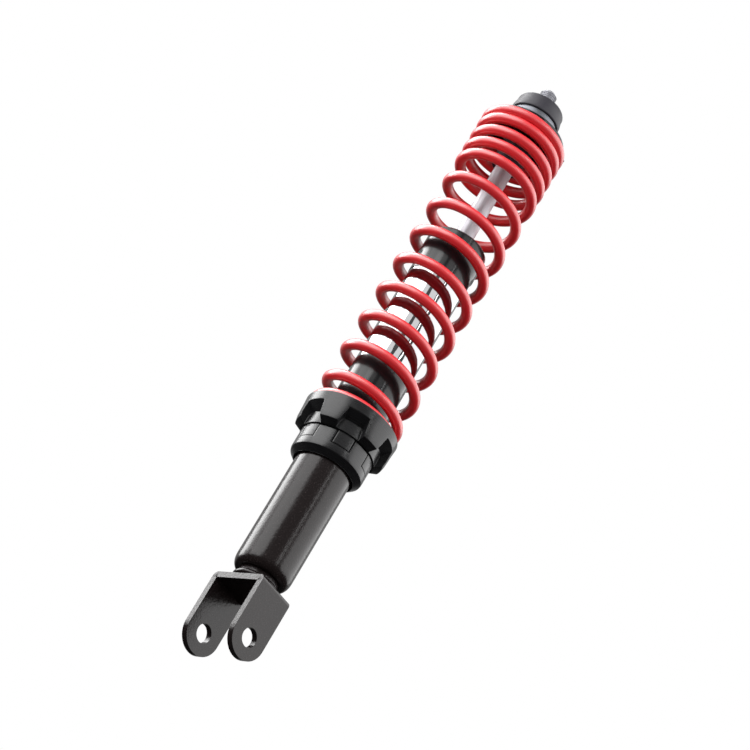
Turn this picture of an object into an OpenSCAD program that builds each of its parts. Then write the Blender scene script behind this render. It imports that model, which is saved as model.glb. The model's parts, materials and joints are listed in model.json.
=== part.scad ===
// Rear shock absorber with a preload adjuster.
// Origin: centre of the lower clevis bore. +X runs along the bore, +Z up the shock to the stud.

/* [Lower clevis] */
// Distance between the two ears
clevis_gap = 30.4; // [28:0.2:34]
// Thickness of the bent plate
plate_t = 3.6; // [3:0.1:4.4]
// Width of each ear
ear_w = 24.3; // [22:0.1:26]
// Diameter of the mounting bolt's hole
clevis_bore_d = 10.4; // [8.4:0.1:12.4]
// Height of the web's top face over the bore
web_top_z = 31.3; // [28:0.1:34]

/* [Damper body] */
// Outer diameter of the body tubes
body_d = 32.8; // [32:0.1:33.6]
// Bore of the damper cylinder
cylinder_bore_d = 27; // [26:0.1:27.6]
// Height where the lower tube begins
tube_base_z = 37.3; // [36:0.1:39]
// Height where the chrome sleeve begins
chrome_z = 177; // [165:1:180]
// Height where the end cap begins
cap_z = 241; // [238:0.5:244]
// Height of the end cap's top
cap_top_z = 270.5; // [269.5:0.1:272]

/* [Preload adjuster] */
// Outer diameter of the thread sleeve
thread_d = 34.4; // [34:0.1:35]
// Number of dogs that key the collar to the nut
dog_count = 6; // [4:1:8]
// Outer diameter of the nut
nut_d = 42.6; // [42:0.2:43.4]
// Height of the nut's lower end
nut_z = 108.5; // [107:0.5:110]
// Height of the spring seat at rest
seat_z = 138.9; // [138.5:0.1:139.5]
// Outer diameter of the collar's rim
rim_d = 55.2; // [55:0.1:56]

/* [Spring] */
// Wire diameter
wire_d = 6.2; // [5.8:0.1:6.2]
// Coil radius to the centre of the wire
coil_r = 23.6; // [23.4:0.1:23.7]
// Pitch of the wide coils next to the seat
wide_pitch = 21.5; // [21:0.1:22]
// Pitch of the tight coils near the top
tight_pitch = 9.3; // [9:0.1:9.6]

/* [Rod and top mount] */
// Rod diameter
rod_d = 10.8; // [10.4:0.1:11]
// Diameter of the top stud
stud_d = 10; // [8:0.5:10]
// Height of the upper spring seat's lower face
upper_seat_z = 354.8; // [354.8:0.1:358]
// Diameter of the rubber bush
bush_d = 30.2; // [28:0.2:32]
// Height of the stud's tip
tip_z = 389; // [388.5:0.1:392]

/* [Hidden] */
$fn = 96;

run_gap = 0.05;       // radial clearance of a shaft in its bore

// Clevis
clevis_w = clevis_gap + 2 * plate_t;
bend_r = 2.2;
ear_corner_r = 2;
boss_d = 23.8;
boss_stub_d = 12;

// Damper body
body_r = body_d / 2;
cylinder_r = cylinder_bore_d / 2;
cylinder_out_r = body_r - 1.6;
tube_shoulder_r = 13.2;
tube_shoulder_z = tube_base_z + 6.4;
tube_floor = 4.7;
cylinder_z = tube_base_z + tube_floor;
cylinder_top_z = cap_z + 21;
base_plug_h = 7;
tube_top_z = nut_z + 3;
thread_sleeve_top_z = 137;
cap_step_z = cap_z + 13;
cap_r = 17.3;
cap_low_r = 16.6;
guide_z = cap_z + 5;
guide_h = 10;
seal_h = 5;
circlip_h = 1.4;
wiper_h = 4.2;
bush_wall = 1.6;

// Gas chamber
gas_piston_z = 62;
gas_piston_h = 14;

// Adjuster
thread_r = thread_d / 2;
nut_r = nut_d / 2;
nut_chamfer = 3.3;
valley_z = nut_z + 7.5;
dog_top_z = nut_z + 15.5;
dog_pitch = 360 / dog_count;
collar_turn = -35;
dog_gap = 0.35;
// Play between the dogs of the nut and of the collar, in degrees
dog_side_play = 2.2;
collar_bore_r = thread_r + 0.4;
rim_r = rim_d / 2;
rim_top_z = seat_z + 3.1;
rim_wall = 0.7;
washer_h = 1.5;
seat_floor_z = seat_z - washer_h;
seam_z = dog_top_z + dog_gap;
lug_z = seam_z + 2.4;
lug_r = rim_r - 1.3;
flare_r = rim_r - 0.4;
pocket_top_z = seat_z - 2.4;
pocket_top_w = 12.8;
pocket_low_w = 16.8;
pocket_floor_r = 22.2;
// A small step that keeps the pockets' corners clear of the collar's own edges
corner_step = 0.2;

// Spring: turns are counted from the coil that lies on the seat, at spring_turn degrees
spring_turn = -38;
closed_pitch = 6.3;
end_turn = 0.75;
last_turn = 13;
pitch_knots = [[-end_turn, closed_pitch], [0.35, closed_pitch], [1.05, wide_pitch],
               [8.7, wide_pitch - 1.5], [9.1, tight_pitch], [11.9, tight_pitch],
               [12.2, closed_pitch], [last_turn + end_turn, closed_pitch]];
spring_start_z = seat_z + wire_d / 2;
steps_per_turn = 26;
wire_sides = 10;

// Rod and piston
rod_r = rod_d / 2;
stud_r = stud_d / 2;
stud_chamfer = 2;
spigot_r = 4;
shims_h = 1.5;
piston_h = 12;
piston_nut_h = 6;
bumper_h = 11.9;
rod_shoulder_z = guide_z - bumper_h - 2.1;
piston_z = rod_shoulder_z - shims_h - piston_h;
lock_nut_h = 6;
bump_stop_h = 19.4;
stud_neck_z = upper_seat_z - lock_nut_h;

// Top mount
seat_plate_t = 2.7;
seat_plate_r = 23.5;
seat_top_z = upper_seat_z + seat_plate_t;
cup_h = 9.1;
cup_r = 14;
bush_z = seat_top_z + cup_h;
bush_r = bush_d / 2;
bush_h = 10.8;
bush_sleeve_r = 7;
top_washer_z = bush_z + bush_h + 0.2;
top_washer_h = 2;
top_washer_r = 8;
thread_start_z = top_washer_z + top_washer_h + 0.4;

// ---------- helpers ----------
// A tube from z0 to z1
module ring(r_out, r_in, z0, z1)
    translate([0, 0, z0]) rotate_extrude() translate([r_in, 0]) square([r_out - r_in, z1 - z0]);

// A turned solid from its half outline
module turned(points) rotate_extrude() polygon(points);

// A hexagon nut with a round hole
module hex_nut(across_flats, hole_r, z0, z1)
    difference() {
        translate([0, 0, z0]) cylinder(h = z1 - z0, d = across_flats / cos(30), $fn = 6);
        translate([0, 0, z0 - 1]) cylinder(h = z1 - z0 + 2, r = hole_r);
    }

// A pie slice that spans an angle about the +X direction
module wedge(angle, r, z0, z1)
    translate([0, 0, z0]) linear_extrude(z1 - z0)
        polygon([[0, 0], r * [cos(angle / 2), -sin(angle / 2)], [r * 1.2, 0],
                 r * [cos(angle / 2), sin(angle / 2)]]);

// ---------- damper body ----------
// The plate's outline seen along the bore: a round end below, small corners above
module ear_outline()
    union() {
        circle(d = ear_w);
        translate([-ear_w / 2, 0]) square([ear_w, web_top_z - ear_corner_r]);
        translate([-ear_w / 2 + ear_corner_r, 0]) square([ear_w - 2 * ear_corner_r, web_top_z]);
        for (side = [-1, 1])
            translate([side * (ear_w / 2 - ear_corner_r), web_top_z - ear_corner_r])
                circle(r = ear_corner_r);
    }

// The bent strip seen along Y: two ears and a web with round bends
module strip_outline()
    difference() {
        union() {
            translate([-clevis_w / 2, -ear_w / 2]) square([clevis_w, ear_w / 2 + web_top_z - bend_r]);
            translate([-clevis_w / 2 + bend_r, 0]) square([clevis_w - 2 * bend_r, web_top_z]);
            for (side = [-1, 1])
                translate([side * (clevis_w / 2 - bend_r), web_top_z - bend_r]) circle(r = bend_r);
        }
        translate([-clevis_gap / 2, -ear_w]) square([clevis_gap, ear_w + web_top_z - plate_t]);
    }

module clevis_bracket() color("dimgray")
    difference() {
        intersection() {
            translate([0, ear_w, 0]) rotate([90, 0, 0]) linear_extrude(2 * ear_w) strip_outline();
            translate([-clevis_w, 0, 0]) rotate([90, 0, 90]) linear_extrude(2 * clevis_w) ear_outline();
        }
        translate([-clevis_w, 0, 0]) rotate([0, 90, 0]) cylinder(h = 2 * clevis_w, d = clevis_bore_d);
        translate([0, 0, web_top_z - 2 * plate_t]) cylinder(h = 4 * plate_t, d = boss_stub_d);
    }

module base_boss() color("black")
    turned([[0, web_top_z - plate_t + 0.4], [boss_stub_d / 2, web_top_z - plate_t + 0.4],
            [boss_stub_d / 2, web_top_z], [boss_d / 2, web_top_z],
            [boss_d / 2, tube_base_z], [0, tube_base_z]]);

module lower_tube() color([0.12, 0.12, 0.12])
    turned([[0, tube_base_z], [tube_shoulder_r, tube_base_z],
            for (a = [15:15:90]) [tube_shoulder_r + (body_r - tube_shoulder_r) * sin(a),
                tube_shoulder_z - (tube_shoulder_z - tube_base_z) * cos(a)],
            [body_r, tube_top_z], [cylinder_out_r, tube_top_z],
            [cylinder_out_r, cylinder_z], [0, cylinder_z]]);

module base_plug() color("silver")
    translate([0, 0, cylinder_z]) cylinder(h = base_plug_h, r = cylinder_r);

module damper_cylinder() color("silver")
    ring(cylinder_out_r, cylinder_r, cylinder_z, cylinder_top_z);

module thread_sleeve() color([0.15, 0.15, 0.15])
    ring(thread_r, cylinder_out_r, tube_top_z, thread_sleeve_top_z);

module black_sleeve() color([0.05, 0.05, 0.05])
    ring(body_r, cylinder_out_r, thread_sleeve_top_z, chrome_z);

module chrome_sleeve() color("lightgray")
    ring(body_r - 0.1, cylinder_out_r, chrome_z, cap_z);

module end_cap() color([0.05, 0.05, 0.05])
    turned([[cylinder_out_r, cap_z], [cap_low_r, cap_z], [cap_low_r, cap_step_z - 1],
            [cap_r, cap_step_z], [cap_r, cap_top_z - 1.2], [cap_r - 1.2, cap_top_z],
            [10.5, cap_top_z], [10.5, cap_top_z - wiper_h], [8, cap_top_z - wiper_h],
            [8, cylinder_top_z + 0.5], [cylinder_out_r, cylinder_top_z + 0.5]]);

module rod_guide() color("silver")
    difference() {
        translate([0, 0, guide_z]) cylinder(h = guide_h, r = cylinder_r);
        translate([0, 0, guide_z - 1]) cylinder(h = guide_h + 2, r = rod_r + bush_wall);
    }

module guide_bush() color("peru")
    ring(rod_r + bush_wall, rod_r + run_gap, guide_z, guide_z + guide_h);

module oil_seal() color([0.2, 0.2, 0.2])
    ring(cylinder_r, rod_r + run_gap, guide_z + guide_h, guide_z + guide_h + seal_h);

module seal_circlip() color("gray")
    difference() {
        ring(cylinder_r, 10, guide_z + guide_h + seal_h, guide_z + guide_h + seal_h + circlip_h);
        translate([0, -2, guide_z]) cube([cylinder_r + 1, 4, 30]);
    }

module dust_wiper() color([0.15, 0.15, 0.15])
    turned([[rod_r + run_gap, cap_top_z - wiper_h], [10.5, cap_top_z - wiper_h],
            [10.5, cap_top_z], [8.5, cap_top_z], [rod_r + 1, cap_top_z + 0.8],
            [rod_r + run_gap, cap_top_z + 0.8]]);

// ---------- gas chamber ----------
module gas_piston() color("silver")
    difference() {
        ring(cylinder_r - 0.2, 0, gas_piston_z, gas_piston_z + gas_piston_h);
        ring(cylinder_r + 1, cylinder_r - 2.2, gas_piston_z + 5, gas_piston_z + 8);
        translate([0, 0, gas_piston_z - 1]) cylinder(h = 5, r = 8);
    }

module gas_piston_seal() color([0.1, 0.1, 0.1])
    ring(cylinder_r - run_gap, cylinder_r - 2.2, gas_piston_z + 5, gas_piston_z + 8);

// ---------- preload adjuster ----------
// The sectors where dogs stand, as a cutter between two heights
module dog_sectors(turn, angle, r, z0, z1)
    for (k = [0:dog_count - 1])
        rotate([0, 0, turn + dog_pitch * k])
            intersection() {
                translate([0, 0, z0]) cylinder(h = z1 - z0, r = r);
                wedge(angle, 2 * r, z0 - 1, z1 + 1);
            }

// The nut: a chamfered ring on the thread, cut down between its dogs
module adjuster_nut() color([0.12, 0.12, 0.13])
    difference() {
        turned([[thread_r + run_gap, nut_z + 2], [thread_r + 0.3, nut_z], [nut_r - 0.3 - nut_chamfer, nut_z],
                [nut_r - 0.3, nut_z + nut_chamfer], [nut_r, nut_z + nut_chamfer + 1.2],
                [nut_r, dog_top_z], [thread_r + run_gap, dog_top_z]]);
        dog_sectors(collar_turn, dog_pitch / 2, nut_r + 1, valley_z, dog_top_z + 1);
    }

// A spanner pocket: a trapezoid seen from outside, with a sloped roof over a round floor
module pocket() {
    side_lean = (pocket_low_w - pocket_top_w) / 2 / (pocket_top_z - lug_z);
    top_extra = 1;
    top_w = pocket_top_w - 2 * side_lean * top_extra;
    roof_r = 2 * rim_r;
    intersection() {
        rotate([90, 0, 90]) linear_extrude(roof_r)
            polygon([[-pocket_low_w / 2, valley_z], [pocket_low_w / 2, valley_z],
                     [pocket_low_w / 2, lug_z + corner_step], [top_w / 2, pocket_top_z + top_extra],
                     [-top_w / 2, pocket_top_z + top_extra], [-pocket_low_w / 2, lug_z + corner_step]]);
        turned([[pocket_floor_r, valley_z - 1], [roof_r, valley_z - 1],
                [roof_r, pocket_top_z + roof_r - flare_r],
                [pocket_floor_r, pocket_top_z - (flare_r - pocket_floor_r)]]);
    }
}

// The collar: a flared flange with a seat for the spring, spanner pockets and dogs below
module adjuster_collar() color([0.1, 0.1, 0.11])
    difference() {
        turned([[collar_bore_r, valley_z + dog_gap], [nut_r, valley_z + dog_gap],
                [nut_r, seam_z + corner_step], [pocket_floor_r + 0.4, seam_z + corner_step],
                [lug_r, lug_z], [lug_r + 0.6, lug_z + 3], [flare_r, pocket_top_z + 2 * corner_step],
                [rim_r, rim_top_z], [rim_r - rim_wall, rim_top_z], [rim_r - rim_wall, seat_floor_z],
                [collar_bore_r, seat_floor_z]]);
        dog_sectors(collar_turn + dog_pitch / 2, dog_pitch / 2 + dog_side_play, nut_r + dog_gap,
                    valley_z - 1, seam_z);
        for (k = [0:dog_count - 1]) rotate([0, 0, collar_turn + dog_pitch * k]) pocket();
    }

module slip_washer() color("silver")
    ring(rim_r - 0.9, coil_r - wire_d / 2 - 0.4, seat_floor_z, seat_z);

// ---------- spring ----------
// Pitch at a turn, from the knots
function pitch_at(n) = lookup(n, pitch_knots);
// Rise from one turn to another inside one straight stretch of the pitch
function rise(a, b) = (b - a) * (pitch_at(a) + pitch_at(b)) / 2;
// Rise from turn 0 up to turn n, stretch by stretch
function height_from(n, a, k) =
    let (b = min(n, pitch_knots[k][0]))
    n <= pitch_knots[k][0] || k == len(pitch_knots) - 1 ? rise(a, b)
                                                       : rise(a, b) + height_from(n, b, k + 1);
function wire_z(n) = spring_start_z + (n < 0 ? -rise(n, 0) : height_from(n, 0, 1));

function ring_points(n) =
    let (a = spring_turn - 360 * n)
    [for (s = [0:wire_sides - 1])
        let (b = 360 * s / wire_sides, r = coil_r + wire_d / 2 * cos(b))
        [r * cos(a), r * sin(a), wire_z(n) + wire_d / 2 * sin(b)]];

module main_spring() color("crimson")
    intersection() {
        steps = ceil((last_turn + 2 * end_turn) * steps_per_turn);
        rings = [for (i = [0:steps]) ring_points(-end_turn + (last_turn + 2 * end_turn) * i / steps)];
        points = [for (r = rings) for (p = r) p];
        walls = [for (i = [0:steps - 1]) for (s = [0:wire_sides - 1])
            let (t = (s + 1) % wire_sides, a = i * wire_sides, b = a + wire_sides)
            each [[a + s, b + s, b + t], [a + s, b + t, a + t]]];
        ends = [[for (s = [0:wire_sides - 1]) s],
                [for (s = [wire_sides - 1:-1:0]) steps * wire_sides + s]];
        polyhedron(points, concat(walls, ends));
        translate([-rim_r, -rim_r, seat_z]) cube([2 * rim_r, 2 * rim_r, upper_seat_z - seat_z]);
    }

// ---------- rod assembly ----------
module piston_rod() color("silver")
    turned([[0, piston_z - shims_h - piston_nut_h - 1], [spigot_r, piston_z - shims_h - piston_nut_h - 1],
            [spigot_r, rod_shoulder_z], [rod_r, rod_shoulder_z], [rod_r, stud_neck_z],
            [stud_r, stud_neck_z], [stud_r, top_washer_z + top_washer_h - 0.6],
            [stud_r - 0.5, top_washer_z + top_washer_h - 0.3], [stud_r - 0.5, thread_start_z - 0.2],
            [stud_r, thread_start_z], [stud_r, tip_z - stud_chamfer],
            [stud_r - stud_chamfer, tip_z], [0, tip_z]]);

module piston() color("gainsboro")
    difference() {
        ring(cylinder_r - 0.3, spigot_r, piston_z, piston_z + piston_h);
        ring(cylinder_r + 1, cylinder_r - 1.2, piston_z + 3, piston_z + 9);
        for (a = [0:60:300]) rotate([0, 0, a]) translate([8.5, 0, piston_z - 1])
            cylinder(h = piston_h + 2, r = 1.6);
    }

module piston_band() color([0.3, 0.25, 0.2])
    ring(cylinder_r - run_gap, cylinder_r - 1.2, piston_z + 3, piston_z + 9);

module shims(z0, r_top, r_low)
    for (k = [0:2])
        ring(r_low + (r_top - r_low) * k / 2, spigot_r, z0 + k * shims_h / 3, z0 + (k + 1) * shims_h / 3);

module compression_shims() color("lightsteelblue") shims(piston_z + piston_h, 8, 11);

module rebound_shims() color("lightsteelblue") shims(piston_z - shims_h, 11, 8);

module piston_nut() color("silver")
    hex_nut(13, spigot_r, piston_z - shims_h - piston_nut_h, piston_z - shims_h);

module top_out_bumper() color([0.2, 0.2, 0.2])
    ring(11, rod_r, rod_shoulder_z + 2, rod_shoulder_z + 2 + bumper_h - 0.2);

module bump_stop() color([0.2, 0.2, 0.2])
    translate([0, 0, stud_neck_z - bump_stop_h])
        turned([[rod_r, 0], [7, 0], [8.6, 3], [8, 7], [9.5, 11], [9.5, bump_stop_h], [rod_r, bump_stop_h]]);

module seat_lock_nut() color("silver")
    hex_nut(17, stud_r, stud_neck_z, upper_seat_z);

module upper_spring_seat() color([0.1, 0.1, 0.1])
    difference() {
        union() {
            ring(seat_plate_r, stud_r, upper_seat_z, seat_top_z);
            ring(coil_r - wire_d / 2 - 0.4, coil_r - wire_d / 2 - 2.4, upper_seat_z - 4, upper_seat_z + 0.1);
        }
        ring(seat_plate_r + 1, seat_plate_r - 0.6, seat_top_z - 0.6, seat_top_z + 1);
    }

module top_cup() color("lightgray")
    difference() {
        turned([[bush_sleeve_r, seat_top_z], [cup_r - 1, seat_top_z], [cup_r, seat_top_z + 1],
                [cup_r, bush_z], [bush_sleeve_r, bush_z]]);
        ring(cup_r - 2, bush_sleeve_r - 1, seat_top_z + 2, bush_z + 1);
    }

module top_bush() color([0.2, 0.2, 0.22])
    turned([[bush_sleeve_r, seat_top_z + 2], [cup_r - 2, seat_top_z + 2], [cup_r - 2, bush_z],
            [bush_r - 0.8, bush_z], [bush_r, bush_z + 1], [bush_r, bush_z + 3],
            for (a = [0:15:90]) [bush_r - 3.4 + 2.5 * cos(a), bush_z + bush_h - 2.5 + 2.5 * sin(a)],
            [bush_sleeve_r, bush_z + bush_h]]);

module bush_sleeve() color("silver")
    ring(bush_sleeve_r, stud_r, seat_top_z, top_washer_z);

module top_washer() color("gainsboro")
    ring(top_washer_r, stud_r, top_washer_z, top_washer_z + top_washer_h);

clevis_bracket();
base_boss();
lower_tube();
base_plug();
damper_cylinder();
thread_sleeve();
black_sleeve();
chrome_sleeve();
end_cap();
rod_guide();
guide_bush();
oil_seal();
seal_circlip();
dust_wiper();
gas_piston();
gas_piston_seal();
adjuster_nut();
adjuster_collar();
slip_washer();
main_spring();
piston_rod();
piston();
piston_band();
compression_shims();
rebound_shims();
piston_nut();
top_out_bumper();
bump_stop();
seat_lock_nut();
upper_spring_seat();
top_cup();
top_bush();
bush_sleeve();
top_washer();
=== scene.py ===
import json
import math

import bmesh
import bpy
from mathutils import Matrix, Vector


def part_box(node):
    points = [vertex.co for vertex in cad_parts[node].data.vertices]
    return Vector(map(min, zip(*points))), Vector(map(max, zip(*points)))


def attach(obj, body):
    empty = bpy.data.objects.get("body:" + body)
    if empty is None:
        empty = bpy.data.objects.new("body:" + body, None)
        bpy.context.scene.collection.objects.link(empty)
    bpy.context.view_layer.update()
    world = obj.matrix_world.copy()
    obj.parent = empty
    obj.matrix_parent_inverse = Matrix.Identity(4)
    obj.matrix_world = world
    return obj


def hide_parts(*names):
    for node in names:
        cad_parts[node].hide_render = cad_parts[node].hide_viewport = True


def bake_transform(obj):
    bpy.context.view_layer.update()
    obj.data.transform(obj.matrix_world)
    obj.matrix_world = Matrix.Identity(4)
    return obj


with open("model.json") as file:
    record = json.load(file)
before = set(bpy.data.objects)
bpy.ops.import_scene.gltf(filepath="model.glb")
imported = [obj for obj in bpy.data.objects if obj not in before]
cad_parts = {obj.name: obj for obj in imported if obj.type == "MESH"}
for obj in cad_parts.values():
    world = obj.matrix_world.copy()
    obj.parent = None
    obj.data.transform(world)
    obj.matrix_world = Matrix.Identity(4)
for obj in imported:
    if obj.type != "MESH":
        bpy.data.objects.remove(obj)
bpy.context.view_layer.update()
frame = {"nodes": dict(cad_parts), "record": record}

MM = 0.001
UP = Vector((0, 0, 1))
ROUND = 144            # steps of a full turn on a large ring
MIDDLE_ROUND = 96      # and on a smaller one


# ---------------------------------------------------------------- sizes from the frame
def reach(node):
    """Radius, lowest and highest height of a node that is round about Z, in millimetres."""
    low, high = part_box(node)
    return high.x / MM, low.z / MM, high.z / MM


BODY_R, _, CHROME_Z = reach("black_sleeve")
CHROME_R, _, CAP_Z = reach("chrome_sleeve")
CYLINDER_R = reach("damper_cylinder")[0]
NUT_R, NUT_Z, DOG_TOP_Z = reach("adjuster_nut")
RIM_R, COLLAR_Z, RIM_TOP_Z = reach("adjuster_collar")
THREAD_R, THREAD_Z, THREAD_TOP_Z = reach("thread_sleeve")
SEAT_Z = reach("slip_washer")[2]
ROD_R, ROD_Z, STUD_TIP_Z = reach("piston_rod")
UPPER_SEAT_R, _, UPPER_SEAT_TOP_Z = reach("upper_spring_seat")
LOCK_NUT_Z, UPPER_SEAT_Z = reach("seat_lock_nut")[1:]
SPRING_R = reach("main_spring")[0]
COIL_INSIDE = 6.6              # from the spring's outside to what its coils fit round
STUD_R = 5.0
CLEVIS_HALF_W = reach("clevis_bracket")[0]
EAR_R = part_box("clevis_bracket")[1].y / MM
WEB_TOP_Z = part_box("clevis_bracket")[1].z / MM
BOLT_HOLE_R = next(m for m in frame["record"]["mounts"] if m["name"] == "lower_clevis")["dims"]["r_mm"]


# ---------------------------------------------------------------- camera, light and floor
CAMERA_TURN = math.radians(52)          # from -Y towards +X
CAMERA_DROP = math.radians(27.94)       # below the horizon
CAMERA_ROLL = math.radians(31.08)
CAMERA_CENTRE_Z = 0.1825
CAMERA_SHIFT = (-0.0027, -0.0072)     # to the right and up of that point, before the roll
CAMERA_DISTANCE = 1.634
LENS = 145.2

LEVEL_BACK = Vector((math.sin(CAMERA_TURN), -math.cos(CAMERA_TURN), 0))
RIGHT = Vector((math.cos(CAMERA_TURN), math.sin(CAMERA_TURN), 0))
BACK = LEVEL_BACK * math.cos(CAMERA_DROP) - UP * math.sin(CAMERA_DROP)
ALONG = UP * math.cos(CAMERA_DROP) + LEVEL_BACK * math.sin(CAMERA_DROP)
CAMERA_AIM = UP * CAMERA_CENTRE_Z + RIGHT * CAMERA_SHIFT[0] + ALONG * CAMERA_SHIFT[1]


def make_camera():
    data = bpy.data.cameras.new("camera")
    data.lens = LENS
    data.sensor_width = 36
    camera = bpy.data.objects.new("camera", data)
    bpy.context.scene.collection.objects.link(camera)
    right = RIGHT * math.cos(CAMERA_ROLL) + ALONG * math.sin(CAMERA_ROLL)
    up = ALONG * math.cos(CAMERA_ROLL) - RIGHT * math.sin(CAMERA_ROLL)
    turn = Matrix((right, up, BACK)).transposed()
    camera.matrix_world = Matrix.Translation(CAMERA_AIM + BACK * CAMERA_DISTANCE) @ turn.to_4x4()
    bpy.context.scene.camera = camera


def softbox(name, turn, climb, distance, size, power):
    """A rectangular light at an angle to the camera's right and above the horizon, aimed at the shock."""
    data = bpy.data.lights.new(name, "AREA")
    data.shape = "RECTANGLE"
    data.size, data.size_y = size
    data.energy = power
    lamp = bpy.data.objects.new(name, data)
    bpy.context.scene.collection.objects.link(lamp)
    turn, climb = math.radians(turn), math.radians(climb)
    level = LEVEL_BACK * math.cos(turn) + RIGHT * math.sin(turn)
    direction = level * math.cos(climb) + UP * math.sin(climb)
    lamp.rotation_mode = "QUATERNION"
    lamp.rotation_quaternion = direction.to_track_quat("Z", "Y")
    lamp.location = CAMERA_AIM + direction * distance


def make_lights():
    softbox("left_box", -58, 30, 1.6, (1.38, 1.9), 24)
    softbox("left_side", -94, 30, 1.6, (0.38, 1.9), 6)
    softbox("left_strip", -116, 30, 1.6, (0.75, 1.9), 34)
    softbox("right_box", 90, 30, 1.6, (2.8, 1.9), 33)
    softbox("right_strip", 30, 27, 2.0, (0.08, 1.6), 2.5)
    softbox("left_card", -31, 34, 0.37, (0.22, 0.12), 0.10)
    softbox("right_card", 12, 34, 0.36, (0.12, 0.12), 0.055)


def make_world():
    """White to the camera. In reflections it is dim on the camera's side and darker still from below,
    and matt surfaces get a fill that is strongest from above."""
    world = bpy.data.worlds.new("studio")
    world.use_nodes = True
    bpy.context.scene.world = world
    tree = world.node_tree
    link = tree.links.new
    background = tree.nodes["Background"]
    place = tree.nodes.new("ShaderNodeTexCoord")

    def along(axis, low, high, at_low, at_high):
        """A smooth step between two strengths with the direction's reach along an axis."""
        dot = tree.nodes.new("ShaderNodeVectorMath")
        dot.operation = "DOT_PRODUCT"
        dot.inputs[1].default_value = axis
        link(place.outputs["Generated"], dot.inputs[0])
        step = tree.nodes.new("ShaderNodeMapRange")
        step.interpolation_type = "SMOOTHSTEP"
        for key, value in {"From Min": low, "From Max": high, "To Min": at_low, "To Max": at_high}.items():
            step.inputs[key].default_value = value
        link(dot.outputs["Value"], step.inputs["Value"])
        return step.outputs["Result"]

    both = tree.nodes.new("ShaderNodeMath")
    both.operation = "MULTIPLY"
    link(along(LEVEL_BACK, -0.75, 0.1, 0.45, 0.14), both.inputs[0])
    link(along(UP, -0.2, 0.3, 0.06, 1.0), both.inputs[1])
    strength = both.outputs["Value"]
    seen = tree.nodes.new("ShaderNodeLightPath")
    fill = tree.nodes.new("ShaderNodeMath")
    fill.operation = "MULTIPLY"
    link(along(LEVEL_BACK, -0.6, 0.4, 0.12, 1.0), fill.inputs[0])
    link(along(UP, -0.6, 0.8, 0.24, 1.75), fill.inputs[1])
    for rays, seen_strength in (("Is Diffuse Ray", fill.outputs["Value"]), ("Is Camera Ray", None)):
        mix = tree.nodes.new("ShaderNodeMix")
        mix.inputs["B"].default_value = 1
        link(seen.outputs[rays], mix.inputs["Factor"])
        link(strength, mix.inputs["A"])
        if seen_strength:
            link(seen_strength, mix.inputs["B"])
        strength = mix.outputs["Result"]
    link(strength, background.inputs["Strength"])
    background.inputs["Color"].default_value = (1, 1, 1, 1)


def make_floor():
    """A wide pale disc below the shock, left out of reflections and of the fill light."""
    radius, depth = 12, 1.0
    bm = bmesh.new()
    bmesh.ops.create_circle(bm, cap_ends=True, radius=radius, segments=64)
    bmesh.ops.translate(bm, verts=bm.verts, vec=(0, 0, -depth))
    mesh = bpy.data.meshes.new("floor")
    bm.to_mesh(mesh)
    bm.free()
    floor = bpy.data.objects.new("floor", mesh)
    bpy.context.scene.collection.objects.link(floor)
    mesh.materials.append(Finish("floor_paint", (0.8, 0.8, 0.8), roughness=0.9).material)
    floor.visible_glossy = False
    floor.visible_diffuse = False


# ---------------------------------------------------------------- shader maths
class Signal:
    """A value that varies over a surface. Arithmetic on it adds Math nodes."""

    def __init__(self, finish, socket):
        self.finish, self.socket = finish, socket

    def _with(self, operation, other):
        return self.finish.add("Math", {"operation": operation}, {0: self, 1: other})

    def __add__(self, other):
        return self._with("ADD", other)

    def __mul__(self, other):
        return self._with("MULTIPLY", other)

    __radd__ = __add__
    __rmul__ = __mul__


class Finish:
    """A material and its shader, with the one method that adds a node to it."""

    def __init__(self, name, base, **fixed):
        self.material = bpy.data.materials.new(name)
        self.material.use_nodes = True
        self.tree = self.material.node_tree
        self.shader = self.tree.nodes["Principled BSDF"]
        self.set("Base Color", (*base, 1))
        for key, value in fixed.items():
            self.set(key.replace("_", " ").title().replace("Ior", "IOR"), value)
        self.place = None

    def set(self, socket, value):
        self.feed(self.shader.inputs[socket], value)

    def feed(self, socket, value):
        if isinstance(value, Signal):
            self.tree.links.new(value.socket, socket)
        else:
            socket.default_value = value

    def add(self, kind, settings, inputs, output=0):
        node = self.tree.nodes.new("ShaderNode" + kind)
        for name, value in settings.items():
            setattr(node, name, value)
        for name, value in inputs.items():
            self.feed(node.inputs[name], value)
        return Signal(self, node.outputs[output])

    def where(self, stretch=(1, 1, 1)):
        """Object coordinates, scaled per axis."""
        if self.place is None:
            self.place = self.add("TexCoord", {}, {}, "Object")
        if stretch == (1, 1, 1):
            return self.place
        return self.add("VectorMath", {"operation": "MULTIPLY"}, {0: self.place, 1: stretch})

    def noise(self, grain_mm, detail=2.0, rough=0.5, stretch=(1, 1, 1)):
        """Noise with features about grain_mm across."""
        return self.add("TexNoise", {}, {"Vector": self.where(stretch), "Scale": 1 / (grain_mm * MM),
                                         "Detail": detail, "Roughness": rough})

    def ramp(self, value, low, high):
        """0 up to low, 1 from high on, and straight between them."""
        return self.add("MapRange", {}, {"Value": value, "From Min": low, "From Max": high})

    def mix(self, factor, a, b):
        """A colour between a and b."""
        return self.add("Mix", {"data_type": "RGBA"}, {0: factor, 6: (*a, 1), 7: (*b, 1)}, 2)

    def bump(self, height, depth_mm, strength=1.0):
        self.set("Normal", self.add("Bump", {}, {"Height": height, "Distance": depth_mm * MM,
                                                 "Strength": strength}))


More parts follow.
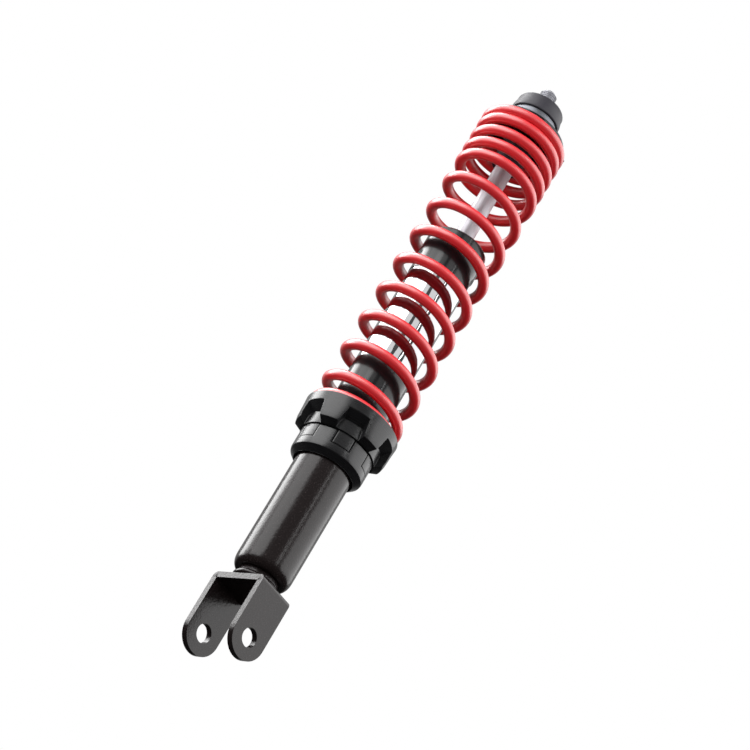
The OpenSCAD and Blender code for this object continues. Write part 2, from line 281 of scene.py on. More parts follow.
# ---------------------------------------------------------------- finishes
def textured_black():
    """Powder coat with a fine grain and a few bright flecks."""
    f = Finish("textured_black", (0.012, 0.009, 0.009), specular_ior_level=0.42)
    grain = f.noise(1.3, 3.0, 0.65)
    flecks = f.ramp(f.noise(0.45, 1.0), 0.64, 0.74)
    patches = f.noise(9, 2.0)
    f.set("Base Color", f.mix(flecks * 0.4, (0.011, 0.0078, 0.0078), (0.10, 0.08, 0.08)))
    f.set("Roughness", 0.10 + grain * 0.10 + patches * 0.05)
    f.bump(grain, 0.10, 0.8)
    return f.material


def gloss_black():
    f = Finish("gloss_black", (0.008, 0.008, 0.009), coat_weight=0.25, coat_roughness=0.12,
               specular_ior_level=0.36)
    peel = f.noise(2.2, 2.0)
    f.set("Roughness", 0.17 + f.noise(6, 3.0) * 0.08)
    f.bump(peel, 0.02, 0.35)
    return f.material


def adjuster_black():
    """Satin anodising with faint turning marks."""
    f = Finish("adjuster_black", (0.010, 0.010, 0.011), specular_ior_level=0.65)
    lines = f.noise(0.6, 2.0, 0.5, (0.05, 0.05, 3.0))
    wear = f.ramp(f.noise(5, 4.0, 0.65), 0.55, 0.8)
    f.set("Base Color", f.mix(wear * 0.5, (0.009, 0.009, 0.010), (0.020, 0.019, 0.019)))
    f.set("Roughness", 0.24 + lines * 0.08 + wear * 0.06)
    f.bump(lines, 0.012, 0.3)
    return f.material


def chrome():
    f = Finish("chrome", (0.46, 0.46, 0.47), metallic=1.0)
    haze = f.ramp(f.noise(7, 4.0, 0.6), 0.45, 0.8)
    f.set("Roughness", 0.04 + haze * 0.06)
    f.bump(f.noise(5, 1.0, 0.5, (1, 1, 0.6)), 0.25, 0.5)
    return f.material


def red_powder():
    """Gloss powder coat with a slight orange peel and soft clouds of tone."""
    f = Finish("red_powder", (0.50, 0.004, 0.010), coat_weight=0.9, coat_roughness=0.32,
               specular_ior_level=1.0)
    cloud = f.noise(14, 3.0)
    specks = f.ramp(f.noise(0.8, 2.0), 0.70, 0.78)
    f.set("Base Color", f.mix(cloud * 0.6 + specks * 0.2, (0.70, 0.005, 0.013), (0.54, 0.003, 0.008)))
    f.set("Roughness", 0.34 + cloud * 0.08)
    f.bump(f.noise(1.6, 2.0), 0.03, 0.4)
    return f.material


def bright_steel():
    """Bright zinc with turned marks round Z."""
    f = Finish("bright_steel", (0.72, 0.72, 0.73), metallic=1.0)
    marks = f.noise(0.5, 3.0, 0.6, (0.1, 0.1, 2.0))
    stain = f.noise(3.0, 3.0)
    f.set("Base Color", f.mix(stain, (0.44, 0.44, 0.47), (0.34, 0.34, 0.37)))
    f.set("Roughness", 0.36 + marks * 0.12)
    f.bump(marks, 0.02, 0.3)
    return f.material


def ground_steel():
    """The rod's satin grinding, with faint bands along it."""
    f = Finish("ground_steel", (0.28, 0.28, 0.30), metallic=0.7)
    bands = f.noise(1.6, 2.0, 0.5, (1, 1, 0.04))
    f.set("Base Color", f.mix(bands, (0.52, 0.52, 0.55), (0.38, 0.38, 0.41)))
    f.set("Roughness", 0.36 + bands * 0.14)
    f.bump(f.noise(0.3, 2.0, 0.5, (0.1, 0.1, 2.0)), 0.008, 0.2)
    return f.material


def dark_steel():
    f = Finish("dark_steel", (0.10, 0.10, 0.105), metallic=1.0)
    marks = f.noise(0.8, 3.0, 0.6, (0.1, 0.1, 2.0))
    f.set("Base Color", f.mix(f.noise(4, 3.0), (0.12, 0.12, 0.125), (0.06, 0.06, 0.065)))
    f.set("Roughness", 0.30 + marks * 0.2)
    f.bump(marks, 0.02, 0.3)
    return f.material


def machined_aluminium():
    f = Finish("machined_aluminium", (0.40, 0.41, 0.44), metallic=1.0)
    marks = f.noise(0.4, 3.0, 0.6, (0.1, 0.1, 2.5))
    f.set("Base Color", f.mix(f.noise(5, 2.0), (0.29, 0.30, 0.33), (0.22, 0.23, 0.26)))
    f.set("Roughness", 0.44 + marks * 0.16)
    f.bump(marks, 0.02, 0.35)
    return f.material


def bronze():
    f = Finish("bronze", (0.55, 0.34, 0.16), metallic=1.0)
    marks = f.noise(0.5, 3.0, 0.6, (0.1, 0.1, 2.0))
    f.set("Base Color", f.mix(f.noise(3, 3.0), (0.60, 0.38, 0.18), (0.42, 0.25, 0.11)))
    f.set("Roughness", 0.32 + marks * 0.2)
    f.bump(marks, 0.02, 0.3)
    return f.material


def rubber(name, shade, roughness):
    plain = (shade, shade * 0.93, shade * 1.2)
    f = Finish(name, plain, specular_ior_level=0.35)
    skin = f.noise(0.7, 3.0, 0.6)
    bloom = f.ramp(f.noise(6, 3.0), 0.45, 0.8)
    f.set("Base Color", f.mix(bloom * 0.6, plain, (shade * 1.6, shade * 1.6, shade * 1.8)))
    f.set("Roughness", roughness + skin * 0.12)
    f.bump(skin, 0.03, 0.35)
    return f.material


def filled_plastic():
    f = Finish("filled_plastic", (0.16, 0.11, 0.07))
    f.set("Base Color", f.mix(f.noise(1.2, 3.0), (0.18, 0.13, 0.08), (0.12, 0.08, 0.05)))
    f.set("Roughness", 0.45 + f.noise(0.5, 2.0) * 0.1)
    return f.material


FINISHES = {
    "textured_black": textured_black(),
    "gloss_black": gloss_black(),
    "thread_steel": dark_steel(),
    "adjuster_black": adjuster_black(),
    "chrome": chrome(),
    "spring_red": red_powder(),
    "steel": bright_steel(),
    "aluminium": machined_aluminium(),
    "bronze": bronze(),
    "seal_rubber": rubber("seal_rubber", 0.025, 0.5),
    "bush_rubber": rubber("bush_rubber", 0.031, 0.42),
    "band_plastic": filled_plastic(),
}
ROD_FINISH = ground_steel()
SLOT_OF = {part["node"]: part["material_slot"] for part in frame["record"]["subparts"]}
BODY_OF = {node: body for body, nodes in frame["record"]["behaviour"]["bodies"].items() for node in nodes}


# ---------------------------------------------------------------- mesh helpers
SHARP = math.radians(28)        # an edge bent more than this is bevelled
CREASE = math.radians(38)       # and more than this stays sharp in shading
TINY = 1e-6                     # mm, a length that counts as none
MERGE = 1e-4                    # mm, points closer than this are one
NEAR = 1e-3                     # mm, the same where a cut or a push leaves places less exact


def mm(bm):
    bmesh.ops.scale(bm, verts=bm.verts, vec=(MM, MM, MM))


def turned(outline, steps=ROUND, bevel=0.0):
    """A bmesh turned about Z from a half outline of (radius, height) points, in millimetres."""
    bm = bmesh.new()
    verts = [bm.verts.new((r, 0, z)) for r, z in outline]
    pairs = list(zip(verts, verts[1:]))
    if not (outline[0][0] < TINY and outline[-1][0] < TINY):
        pairs.append((verts[-1], verts[0]))
    edges = [bm.edges.new(pair) for pair in pairs]
    bmesh.ops.spin(bm, geom=verts + edges, cent=(0, 0, 0), axis=UP, angle=math.tau, steps=steps,
                   use_merge=True, use_duplicate=False)
    bmesh.ops.remove_doubles(bm, verts=bm.verts, dist=MERGE)
    bmesh.ops.recalc_face_normals(bm, faces=bm.faces)
    if bevel:
        soften(bm, bevel)
    return bm


def tube_length(outer_r, inner_r, z0, z1, bevel, steps=ROUND):
    """A plain ring or tube between two heights."""
    return turned([(outer_r, z0), (outer_r, z1), (inner_r, z1), (inner_r, z0)], steps, bevel)


def soften(bm, width, segments=3):
    """Rounds every sharp edge."""
    edges = [e for e in bm.edges if e.is_manifold and e.calc_face_angle(0) > SHARP]
    bmesh.ops.bevel(bm, geom=edges, offset=width, offset_type="OFFSET", affect="EDGES",
                    segments=segments, profile=0.5, material=-1, clamp_overlap=True)


def sector(outline, middle, width, steps, bevel=0.0):
    """A closed block: a flat outline of (radius, height) points swept through part of a turn."""
    bm = bmesh.new()
    face = bm.faces.new([bm.verts.new((r, 0, z)) for r, z in outline])
    start = Matrix.Rotation(math.radians(middle - width / 2), 4, "Z")
    bmesh.ops.transform(bm, matrix=start, verts=bm.verts)
    bmesh.ops.spin(bm, geom=[face, *face.edges, *face.verts], cent=(0, 0, 0), axis=UP,
                   angle=math.radians(width), steps=steps, use_duplicate=False)
    bmesh.ops.remove_doubles(bm, verts=bm.verts, dist=MERGE)
    bmesh.ops.recalc_face_normals(bm, faces=bm.faces)
    if bevel:
        soften(bm, bevel, 2)
    return bm


def join(bm, other):
    """Adds another bmesh's geometry to bm."""
    mesh = bpy.data.meshes.new("joined")
    other.to_mesh(mesh)
    other.free()
    bm.from_mesh(mesh)
    bpy.data.meshes.remove(mesh)


def thread(r_major, depth, pitch, z0, z1, r_inner, steps):
    """A right-hand external thread between two heights, round a bore or solid to the axis."""
    bm = bmesh.new()
    flat = pitch / 8
    points = []
    turns = math.ceil((z1 - z0) / pitch) + 3
    for k in range(turns):
        z = z0 - 2 * pitch + k * pitch
        points += [(r_major - depth, z), (r_major - depth, z + flat),
                   (r_major, z + pitch / 2), (r_major, z + pitch / 2 + flat)]
    verts = [bm.verts.new((r, 0, z)) for r, z in points]
    edges = [bm.edges.new(pair) for pair in zip(verts, verts[1:])]
    bmesh.ops.spin(bm, geom=verts + edges, cent=(0, 0, 0), axis=UP, dvec=(0, 0, pitch / steps),
                   angle=math.tau, steps=steps, use_duplicate=False)
    bmesh.ops.remove_doubles(bm, verts=bm.verts, dist=NEAR)
    for height, side in ((z0, -1), (z1, 1)):
        bmesh.ops.bisect_plane(bm, geom=[*bm.verts, *bm.edges, *bm.faces], dist=MERGE / 10,
                               plane_co=(0, 0, height), plane_no=(0, 0, side), clear_outer=True)
    for height in (z0, z1):
        rim = [e for e in bm.edges if e.is_boundary and abs(e.verts[0].co.z - height) < NEAR]
        inner = bmesh.ops.extrude_edge_only(bm, edges=rim)["geom"]
        ring = [v for v in inner if isinstance(v, bmesh.types.BMVert)]
        for v in ring:
            v.co.xy = v.co.xy.normalized() * r_inner
    bmesh.ops.remove_doubles(bm, verts=bm.verts, dist=MERGE)
    walls = [e for e in bm.edges if e.is_boundary]
    if r_inner > 0:
        bmesh.ops.bridge_loops(bm, edges=walls)
    bmesh.ops.recalc_face_normals(bm, faces=bm.faces)
    return bm


def hexagon(across_flats, hole_r, z0, z1):
    """A chamfered hexagon nut with a round hole."""
    bm = bmesh.new()
    chamfer = 1.1
    chamfer_from_r = across_flats / math.sqrt(3) - chamfer
    sides = 72
    for z in (z0, z1):
        for k in range(sides):
            a = math.tau * k / sides
            to_flat = (a + math.pi / 6) % (math.pi / 3) - math.pi / 6
            r = across_flats / 2 / math.cos(to_flat)
            bm.verts.new((r * math.cos(a), r * math.sin(a), z))
    bm.verts.ensure_lookup_table()
    low, high = bm.verts[:sides], bm.verts[sides:]
    rims = [[bm.edges.new((ring[k], ring[(k + 1) % sides])) for k in range(sides)] for ring in (low, high)]
    bmesh.ops.bridge_loops(bm, edges=rims[0] + rims[1])
    for rim in rims:
        made = bmesh.ops.extrude_edge_only(bm, edges=rim)["geom"]
        for v in [g for g in made if isinstance(g, bmesh.types.BMVert)]:
            v.co.xy = v.co.xy.normalized() * hole_r
    bores = [e for e in bm.edges if e.is_boundary]
    bmesh.ops.bridge_loops(bm, edges=bores)
    for v in bm.verts:
        excess = v.co.xy.length - chamfer_from_r
        if excess > 0:
            side = 1 if v.co.z > (z0 + z1) / 2 else -1
            v.co.z -= side * excess * math.tan(math.radians(30))
    bmesh.ops.recalc_face_normals(bm, faces=bm.faces)
    return bm


def piece(name, bm, node, finish=None):
    """Makes a piece from a bmesh in millimetres that stands for a CAD node."""
    mm(bm)
    mesh = bpy.data.meshes.new(name)
    bm.to_mesh(mesh)
    bm.free()
    mesh.polygons.foreach_set("use_smooth", [True] * len(mesh.polygons))
    mesh.set_sharp_from_angle(angle=CREASE)
    made = bpy.data.objects.new(name, mesh)
    bpy.context.scene.collection.objects.link(made)
    mesh.materials.append(finish or FINISHES[SLOT_OF[node]])
    weighted = made.modifiers.new("weighted_normals", "WEIGHTED_NORMAL")
    weighted.keep_sharp = True
    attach(made, BODY_OF[node])
    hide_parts(node)


def arc(r, z, radius, start, end, steps):
    """Outline points on an arc about (r, z), angles in degrees from +r towards +z."""
    angles = [math.radians(start + (end - start) * k / steps) for k in range(steps + 1)]
    return [(r + radius * math.cos(a), z + radius * math.sin(a)) for a in angles]


# ---------------------------------------------------------------- clevis and body
def clevis_plate():
    """A strip bent into two ears and a web, with a punched hole in each ear."""
    thick = 3.6
    bend_r = 3.0
    rays = 64
    bm = bmesh.new()
    hole = bmesh.ops.create_circle(bm, segments=rays, radius=BOLT_HOLE_R)["verts"]
    rim = []
    for v in hole:
        a = math.atan2(v.co.y, v.co.x)
        reach_out = EAR_R if v.co.y <= TINY else EAR_R / max(abs(math.cos(a)), abs(math.sin(a)))
        rim.append(bm.verts.new(v.co.normalized() * reach_out))
    rim_edges = [bm.edges.new((rim[k], rim[(k + 1) % rays])) for k in range(rays)]
    hole_edges = [e for e in bm.edges if e not in rim_edges]
    bmesh.ops.bridge_loops(bm, edges=rim_edges + hole_edges)
    # the flat ring is drawn in XY and goes to the outer face of the ear
    to_ear = Matrix(((0, 0, 1, 0), (1, 0, 0, 0), (0, 1, 0, 0), (0, 0, 0, 1)))
    bmesh.ops.transform(bm, matrix=to_ear, verts=bm.verts)
    bmesh.ops.translate(bm, verts=bm.verts, vec=(CLEVIS_HALF_W, 0, 0))
    top = [e for e in bm.edges if all(abs(v.co.z - EAR_R) < MERGE for v in e.verts)]
    made = bmesh.ops.extrude_edge_only(bm, edges=top)["geom"]
    verts = [g for g in made if isinstance(g, bmesh.types.BMVert)]
    for v in verts:
        v.co.z = WEB_TOP_Z - bend_r
    edges = [g for g in made if isinstance(g, bmesh.types.BMEdge) and
             all(abs(v.co.z - (WEB_TOP_Z - bend_r)) < MERGE for v in g.verts)]
    last = bmesh.ops.spin(bm, geom=edges + verts, cent=(CLEVIS_HALF_W - bend_r, 0, WEB_TOP_Z - bend_r),
                          axis=(0, -1, 0), angle=math.pi / 2, steps=8, use_duplicate=False)["geom_last"]
    made = bmesh.ops.extrude_edge_only(
        bm, edges=[g for g in last if isinstance(g, bmesh.types.BMEdge)])["geom"]
    for v in [g for g in made if isinstance(g, bmesh.types.BMVert)]:
        v.co.x = 0
    bmesh.ops.mirror(bm, geom=[*bm.verts, *bm.edges, *bm.faces], matrix=Matrix.Identity(4),
                     merge_dist=MERGE, axis="X")
    bmesh.ops.remove_doubles(bm, verts=bm.verts, dist=MERGE)
    bmesh.ops.recalc_face_normals(bm, faces=bm.faces)
    if next(f for f in bm.faces if f.calc_center_median().z > WEB_TOP_Z - NEAR).normal.z < 0:
        bmesh.ops.reverse_faces(bm, faces=bm.faces)
    bmesh.ops.solidify(bm, geom=list(bm.faces), thickness=thick)
    bmesh.ops.recalc_face_normals(bm, faces=bm.faces)
    soften(bm, 0.55)
    return bm


def make_body():
    piece("clevis_plate", clevis_plate(), "clevis_bracket")
    neck_r, _, tube_z = reach("base_boss")
    bead = 1.6
    pin_r, pin_length = 5.9, 3.2
    boss = turned([(0, WEB_TOP_Z - pin_length), (pin_r, WEB_TOP_Z - pin_length), (pin_r, WEB_TOP_Z),
                   (neck_r, WEB_TOP_Z),
                   *arc(neck_r - 0.3, WEB_TOP_Z + bead, bead, -60, 70, 6),
                   (neck_r - 0.2, WEB_TOP_Z + 2 * bead + 0.5), (neck_r - 0.2, tube_z), (0, tube_z)],
                  MIDDLE_ROUND)
    piece("neck_with_weld", boss, "base_boss")

    shoulder = 6.4
    flat_r = 13.2
    inside_z = tube_z + 4.7
    tube_top = reach("lower_tube")[2]
    bends = [math.radians(a) for a in range(10, 91, 10)]
    tube = turned([(0, tube_z), (flat_r, tube_z),
                   *[(flat_r + (BODY_R - flat_r) * math.sin(a), tube_z + shoulder * (1 - math.cos(a)))
                     for a in bends],
                   (BODY_R, tube_top), (CYLINDER_R, tube_top), (CYLINDER_R, inside_z), (0, inside_z)])
    piece("lower_tube_shell", tube, "lower_tube")

    thread_depth, thread_pitch = 1.1, 2.0
    threaded = thread(THREAD_R, thread_depth, thread_pitch, THREAD_Z, THREAD_TOP_Z, CYLINDER_R, ROUND)
    piece("preload_thread", threaded, "thread_sleeve")
    piece("black_body_sleeve", tube_length(BODY_R, CYLINDER_R, THREAD_TOP_Z, CHROME_Z, 0.3), "black_sleeve")
    piece("chrome_body_sleeve", tube_length(CHROME_R, CYLINDER_R, CHROME_Z, CAP_Z, 0.15), "chrome_sleeve")


def make_end_cap():
    cap_r, _, cap_top = reach("end_cap")
    wiper_r, wiper_z, _ = reach("dust_wiper")
    low_r = 16.6
    step_z, chamfer = CAP_Z + 13, 1.4
    rod_hole_r = 8
    roof_z = CAP_Z + 21.5
    cap = turned([(CYLINDER_R, CAP_Z), (low_r, CAP_Z), (low_r, step_z - chamfer), (cap_r, step_z),
                  (cap_r, cap_top - chamfer), (cap_r - chamfer, cap_top), (wiper_r, cap_top),
                  (wiper_r, wiper_z), (rod_hole_r, wiper_z), (rod_hole_r, roof_z), (CYLINDER_R, roof_z)],
                 bevel=0.25)
    piece("end_cap_turned", cap, "end_cap")
    lip_r, lip_z = ROD_R + 0.05, cap_top + 0.7
    wiper = turned([(lip_r, wiper_z), (wiper_r, wiper_z), (wiper_r, cap_top - 0.1), (8.7, cap_top - 0.1),
                    (7.6, cap_top - 0.7), (ROD_R + 1, lip_z), (lip_r, lip_z)], bevel=0.12)
    piece("wiper_lip", wiper, "dust_wiper")


# ---------------------------------------------------------------- preload adjuster
DOGS = 6
DOG_PITCH = 360 / DOGS
COLLAR_TURN = -35              # degrees, the middle of a pocket
VALLEY_Z = NUT_Z + 7.5
SEAM_Z = DOG_TOP_Z + 0.35
POCKET_TOP_Z = SEAT_Z - 2.4
POCKET_FLOOR_R = 22.2
LUG_Z = SEAM_Z + 2.4
LUG_R = RIM_R - 1.3
FLARE_R = RIM_R - 0.4
POCKET_LOW_HALF_W = 8.4
POCKET_TOP_HALF_W = 6.4
DOG_SIDE_PLAY = 2.2            # degrees
DOG_BEVEL = 0.45
DOG_STEPS = 12


def make_nut():
    bore = THREAD_R + 0.05
    bm = turned([(bore, NUT_Z + 2), (THREAD_R + 0.6, NUT_Z), (NUT_R - 3.6, NUT_Z), (NUT_R - 0.3, NUT_Z + 3.3),
                 (NUT_R, NUT_Z + 4.5), (NUT_R, VALLEY_Z), (bore, VALLEY_Z)], bevel=0.3)
    root_z = VALLEY_Z - 0.5
    dog = [(bore, root_z), (NUT_R, root_z), (NUT_R, DOG_TOP_Z), (bore, DOG_TOP_Z)]
    for k in range(DOGS):
        join(bm, sector(dog, COLLAR_TURN + DOG_PITCH * (k + 0.5), DOG_PITCH / 2, DOG_STEPS, DOG_BEVEL))
    piece("preload_nut", bm, "adjuster_nut")


def pocket_half_angle(z):
    """A pocket's half width at a height: narrow at its top, wide from the lugs' lower corners down."""
    share = min(1.0, max(0.0, (z - LUG_Z) / (POCKET_TOP_Z - LUG_Z)))
    half_width = POCKET_LOW_HALF_W + (POCKET_TOP_HALF_W - POCKET_LOW_HALF_W) * share
    return math.degrees(math.asin(half_width / FLARE_R))


def from_pocket_middle(point):
    """How far round a point is from the middle of the nearest pocket, in degrees."""
    turn = math.degrees(math.atan2(point.y, point.x)) - COLLAR_TURN
    return (turn + DOG_PITCH / 2) % DOG_PITCH - DOG_PITCH / 2


def make_collar():
    """The flared ring: turned, its rows of points drawn together at the pockets, then those pushed in."""
    bore = THREAD_R + 0.4
    rim_wall = 0.7
    floor_z = reach("slip_washer")[1]
    bm = turned([(bore, SEAM_Z), (POCKET_FLOOR_R, SEAM_Z), (LUG_R, LUG_Z), (LUG_R + 0.6, LUG_Z + 3),
                 (FLARE_R, POCKET_TOP_Z), (RIM_R, RIM_TOP_Z), (RIM_R - rim_wall, RIM_TOP_Z),
                 (RIM_R - rim_wall, floor_z), (bore, floor_z)], steps=120)
    step = DOG_PITCH / 4
    for v in bm.verts:
        offset = from_pocket_middle(v.co)
        half = pocket_half_angle(v.co.z)
        share = abs(offset) / step
        moved = half * share if share <= 1 else half + (DOG_PITCH / 2 - half) * (share - 1)
        v.co.rotate(Matrix.Rotation(math.radians(math.copysign(moved, offset) - offset), 3, "Z"))
    outside = []
    for f in bm.faces:
        centre = f.calc_center_median()
        facing_out = f.normal.xy.dot(centre.xy.normalized()) > 0.1
        in_pocket = abs(from_pocket_middle(centre)) < pocket_half_angle(centre.z)
        if facing_out and in_pocket and centre.z < POCKET_TOP_Z:
            outside.append(f)
    made = bmesh.ops.extrude_face_region(bm, geom=outside)["geom"]
    bmesh.ops.delete(bm, geom=outside, context="FACES_ONLY")
    for v in [g for g in made if isinstance(g, bmesh.types.BMVert)]:
        if v.co.z > POCKET_TOP_Z - NEAR:
            v.co.z = min(v.co.z, POCKET_TOP_Z - (v.co.xy.length - POCKET_FLOOR_R))
        v.co.xy = v.co.xy.normalized() * POCKET_FLOOR_R
    bmesh.ops.remove_doubles(bm, verts=bm.verts, dist=NEAR)
    bmesh.ops.recalc_face_normals(bm, faces=bm.faces)
    soften(bm, 0.4)
    root_z = SEAM_Z + 0.5
    dog = [(bore, COLLAR_Z), (NUT_R, COLLAR_Z), (NUT_R, root_z), (bore, root_z)]
    width = DOG_PITCH / 2 - DOG_SIDE_PLAY
    for k in range(DOGS):
        join(bm, sector(dog, COLLAR_TURN + DOG_PITCH * k, width, DOG_STEPS, DOG_BEVEL))
    piece("preload_collar", bm, "adjuster_collar")


def make_slip_washer():
    r, z0, z1 = reach("slip_washer")
    piece("slip_ring", tube_length(r, SPRING_R - COIL_INSIDE, z0, z1, 0.3), "slip_washer")


# ---------------------------------------------------------------- spring
WIRE_R = 3.1
COIL_R = SPRING_R - WIRE_R
SPRING_TURN = -38              # degrees, the wire's place round the axis at turn 0
END_TURN, LAST_TURN = 0.75, 13
STEPS_PER_TURN = 72
END_PITCH, OPEN_PITCH, LESS_OPEN_PITCH, TIGHT_PITCH = 6.3, 21.5, 20.0, 9.3
# (turn, pitch): the pitch runs straight between these
PITCH = [(-END_TURN, END_PITCH), (0.35, END_PITCH), (1.05, OPEN_PITCH), (8.7, LESS_OPEN_PITCH),
         (9.1, TIGHT_PITCH), (11.9, TIGHT_PITCH), (12.2, END_PITCH), (LAST_TURN + END_TURN, END_PITCH)]
JOIN_Z = 168                   # where the foot of the spring meets the rest


def wire_z(turn):
    """Height of the wire's centre after some turns from the coil on the seat."""
    height = SEAT_Z + WIRE_R - END_PITCH * END_TURN
    for (n0, p0), (n1, p1) in zip(PITCH, PITCH[1:]):
        upto = min(turn, n1)
        if upto > n0:
            pitch_there = p0 + (p1 - p0) * (upto - n0) / (n1 - n0)
            height += (upto - n0) * (p0 + pitch_there) / 2
    return height


def turn_at(z):
    """The turn at which the wire's centre is at a height."""
    low, high = -END_TURN, LAST_TURN + END_TURN
    for _ in range(50):
        middle = (low + high) / 2
        low, high = (middle, high) if wire_z(middle) < z else (low, middle)
    return low


def wire_nodes():
    """Geometry nodes that sweep a round wire along an edge mesh and grind its flat ends."""
    tree = bpy.data.node_groups.new("round_wire", "GeometryNodeTree")
    tree.interface.new_socket("Geometry", in_out="INPUT", socket_type="NodeSocketGeometry")
    tree.interface.new_socket("Geometry", in_out="OUTPUT", socket_type="NodeSocketGeometry")

    def add(kind, settings=(), **inputs):
        node = tree.nodes.new(kind)
        for name, value in dict(settings).items():
            setattr(node, name, value)
        for name, value in inputs.items():
            socket = node.inputs[name.replace("_", " ")]
            if isinstance(value, bpy.types.NodeSocket):
                tree.links.new(value, socket)
            else:
                socket.default_value = value
        return node

    start = add("NodeGroupInput")
    line = add("GeometryNodeMeshToCurve", Mesh=start.outputs[0])
    place = add("GeometryNodeInputPosition")
    centre = add("GeometryNodeStoreNamedAttribute", {"data_type": "FLOAT_VECTOR"},
                 Geometry=line.outputs[0], Name="wire_centre", Value=place.outputs[0])
    ring = add("GeometryNodeCurvePrimitiveCircle", Resolution=28, Radius=WIRE_R * MM)
    wire = add("GeometryNodeCurveToMesh", Curve=centre.outputs[0], Profile_Curve=ring.outputs[0],
               Fill_Caps=True)
    heights = add("ShaderNodeSeparateXYZ", Vector=place.outputs[0])
    middle = add("GeometryNodeInputNamedAttribute", {"data_type": "FLOAT_VECTOR"}, Name="wire_centre")
    middle_z = add("ShaderNodeSeparateXYZ", Vector=middle.outputs[0]).outputs["Z"]
    limits = []
    for name in ("room_below", "room_above"):
        room = add("GeometryNodeInputNamedAttribute", {"data_type": "FLOAT"}, Name=name)
        limits.append(add("ShaderNodeMath", {"operation": "ADD"}))
        tree.links.new(middle_z, limits[-1].inputs[0])
        tree.links.new(room.outputs[0], limits[-1].inputs[1])
    kept = add("ShaderNodeClamp", Value=heights.outputs["Z"],
               Min=limits[0].outputs[0], Max=limits[1].outputs[0])
    point = add("ShaderNodeCombineXYZ", X=heights.outputs["X"], Y=heights.outputs["Y"], Z=kept.outputs[0])
    ground = add("GeometryNodeSetPosition", Geometry=wire.outputs[0], Position=point.outputs[0])
    smooth = add("GeometryNodeSetShadeSmooth", Geometry=ground.outputs[0])
    painted = add("GeometryNodeSetMaterial", Geometry=smooth.outputs[0], Material=FINISHES["spring_red"])
    add("NodeGroupOutput", Geometry=painted.outputs[0])
    return tree


def coil(name, first, last, tree, end_z):
    """A run of the spring from one turn to another."""
    bm = bmesh.new()
    steps = round((last - first) * STEPS_PER_TURN)
    line, below, above = [], [], []
    for k in range(steps + 1):
        turn = first + (last - first) * k / steps
        angle = math.radians(SPRING_TURN - 360 * turn)
        z = wire_z(turn)
        line.append(bm.verts.new((COIL_R * math.cos(angle), COIL_R * math.sin(angle), z)))
        below.append(max(SEAT_Z - z, -2 * WIRE_R) * MM)
        above.append(min(UPPER_SEAT_Z - z, 2 * WIRE_R) * MM)
    for a, b in zip(line, line[1:]):
        bm.edges.new((a, b))
    mm(bm)
    mesh = bpy.data.meshes.new(name)
    bm.to_mesh(mesh)
    bm.free()
    for attribute, values in (("room_below", below), ("room_above", above)):
        mesh.attributes.new(attribute, "FLOAT", "POINT").data.foreach_set("value", values)
    mesh.materials.append(FINISHES["spring_red"])
    made = bpy.data.objects.new(name, mesh)
    bpy.context.scene.collection.objects.link(made)
    end_z * MM
    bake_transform(made)
    made.modifiers.new("round_wire", "NODES").node_group = tree
    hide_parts("main_spring")


def make_spring():
    tree = wire_nodes()
    meeting = turn_at(JOIN_Z)
    coil("spring_foot", -END_TURN, meeting, tree, JOIN_Z)
    coil("spring_coils", meeting, LAST_TURN + END_TURN, tree,
         wire_z(LAST_TURN))


# ---------------------------------------------------------------- rod and top mount
def make_rod():
    washer_top = reach("top_washer")[2]
    piston_stub_r, shoulder_z = 4, 232
    core_r, core_top = 4.4, washer_top + 0.6
    thread_depth, thread_pitch, thread_steps = 0.75, 1.25, 48
    tip_r = 3.0
    bm = turned([(0, ROD_Z), (piston_stub_r, ROD_Z), (piston_stub_r, shoulder_z), (ROD_R, shoulder_z),
                 (ROD_R, LOCK_NUT_Z), (STUD_R, LOCK_NUT_Z), (STUD_R, washer_top - 0.6),
                 (core_r, washer_top - 0.3), (core_r, core_top), (0, core_top)], MIDDLE_ROUND, bevel=0.15)
    stud = thread(STUD_R, thread_depth, thread_pitch, washer_top + 0.4, STUD_TIP_Z, 0.0,
                  thread_steps)
    for v in stud.verts:
        limit = tip_r + STUD_TIP_Z - v.co.z
        if v.co.xy.length > limit:
            v.co.xy = v.co.xy.normalized() * limit
    join(bm, stud)
    piece("rod_and_stud", bm, "piston_rod", finish=ROD_FINISH)


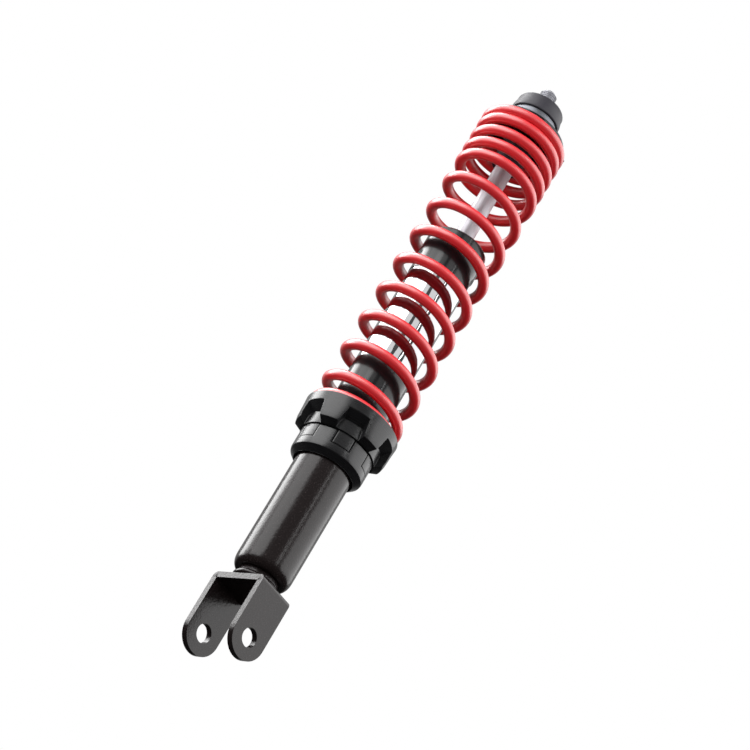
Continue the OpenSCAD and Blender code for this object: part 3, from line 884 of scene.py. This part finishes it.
def make_upper_seat():
    foot = reach("bump_stop")[1]
    top_r, top_z = 9.5, LOCK_NUT_Z
    stop = turned([(ROD_R, foot), (7, foot), *arc(7.2, foot + 1.8, 1.6, -60, 60, 5),
                   (7.8, foot + 6), *arc(8.0, foot + 9.5, 1.5, -50, 60, 5),
                   (8.8, foot + 13), (top_r, top_z - 4), (top_r, top_z), (ROD_R, top_z)],
                  MIDDLE_ROUND, bevel=0.2)
    piece("bump_rubber", stop, "bump_stop")
    nut_across_flats = 17
    piece("seat_nut", hexagon(nut_across_flats, STUD_R, LOCK_NUT_Z, UPPER_SEAT_Z), "seat_lock_nut")

    spigot_r, spigot_wall, spigot_z = SPRING_R - COIL_INSIDE, 2, UPPER_SEAT_Z - 4
    chamfer = 0.6
    seat = turned([(STUD_R, UPPER_SEAT_Z), (spigot_r - spigot_wall, UPPER_SEAT_Z),
                   (spigot_r - spigot_wall, spigot_z), (spigot_r, spigot_z), (spigot_r, UPPER_SEAT_Z),
                   (UPPER_SEAT_R, UPPER_SEAT_Z), (UPPER_SEAT_R, UPPER_SEAT_TOP_Z - chamfer),
                   (UPPER_SEAT_R - chamfer, UPPER_SEAT_TOP_Z), (STUD_R, UPPER_SEAT_TOP_Z)], bevel=0.3)
    piece("upper_seat_plate", seat, "upper_spring_seat")


def make_top_mount():
    cup_r, cup_z, cup_top = reach("top_cup")
    sleeve_r, sleeve_z, sleeve_top = reach("bush_sleeve")
    wall, corner = 2, 1.5
    inside_r = cup_r - wall
    cup = turned([(sleeve_r, cup_z), *arc(cup_r - corner, cup_z + corner, corner, -90, 0, 5),
                  (cup_r, cup_top), (inside_r, cup_top), (inside_r, cup_z + wall), (sleeve_r, cup_z + wall)],
                 MIDDLE_ROUND, bevel=0.2)
    piece("bush_cup", cup, "top_cup", finish=FINISHES["aluminium"])

    bush_r, bush_z, bush_top = reach("top_bush")
    bush = turned([(sleeve_r, bush_z), (inside_r, bush_z), (inside_r, cup_top), (bush_r - 1.0, cup_top),
                   *arc(bush_r - 0.9, cup_top + 0.9, 0.9, -80, 0, 4), (bush_r - 0.15, cup_top + 3.5),
                   (bush_r - 0.9, cup_top + 7.0), *arc(bush_r - 3.3, bush_top - 2.4, 2.4, 12, 90, 6),
                   (bush_r - 5.5, bush_top), (sleeve_r + 1.2, bush_top - 0.35), (sleeve_r, bush_top - 0.3)],
                  120)
    piece("rubber_bush", bush, "top_bush")

    inner_sleeve = tube_length(sleeve_r, STUD_R, sleeve_z, sleeve_top, 0.25, MIDDLE_ROUND)
    piece("steel_sleeve", inner_sleeve, "bush_sleeve")
    washer_r, washer_z, washer_top = reach("top_washer")
    washer = tube_length(washer_r, STUD_R, washer_z, washer_top, 0.3, MIDDLE_ROUND)
    piece("washer", washer, "top_washer")


def finish_cad_nodes():
    """The pieces inside keep their CAD shape and get a real finish."""
    for name, node in frame["nodes"].items():
        node.data.materials.clear()
        node.data.materials.append(FINISHES[SLOT_OF[name]])


make_camera()
make_world()
make_floor()
make_lights()
finish_cad_nodes()
make_body()
make_end_cap()
make_nut()
make_collar()
make_slip_washer()
make_spring()
make_rod()
make_upper_seat()
make_top_mount()
scene = bpy.context.scene
scene.view_settings.view_transform = "Standard"
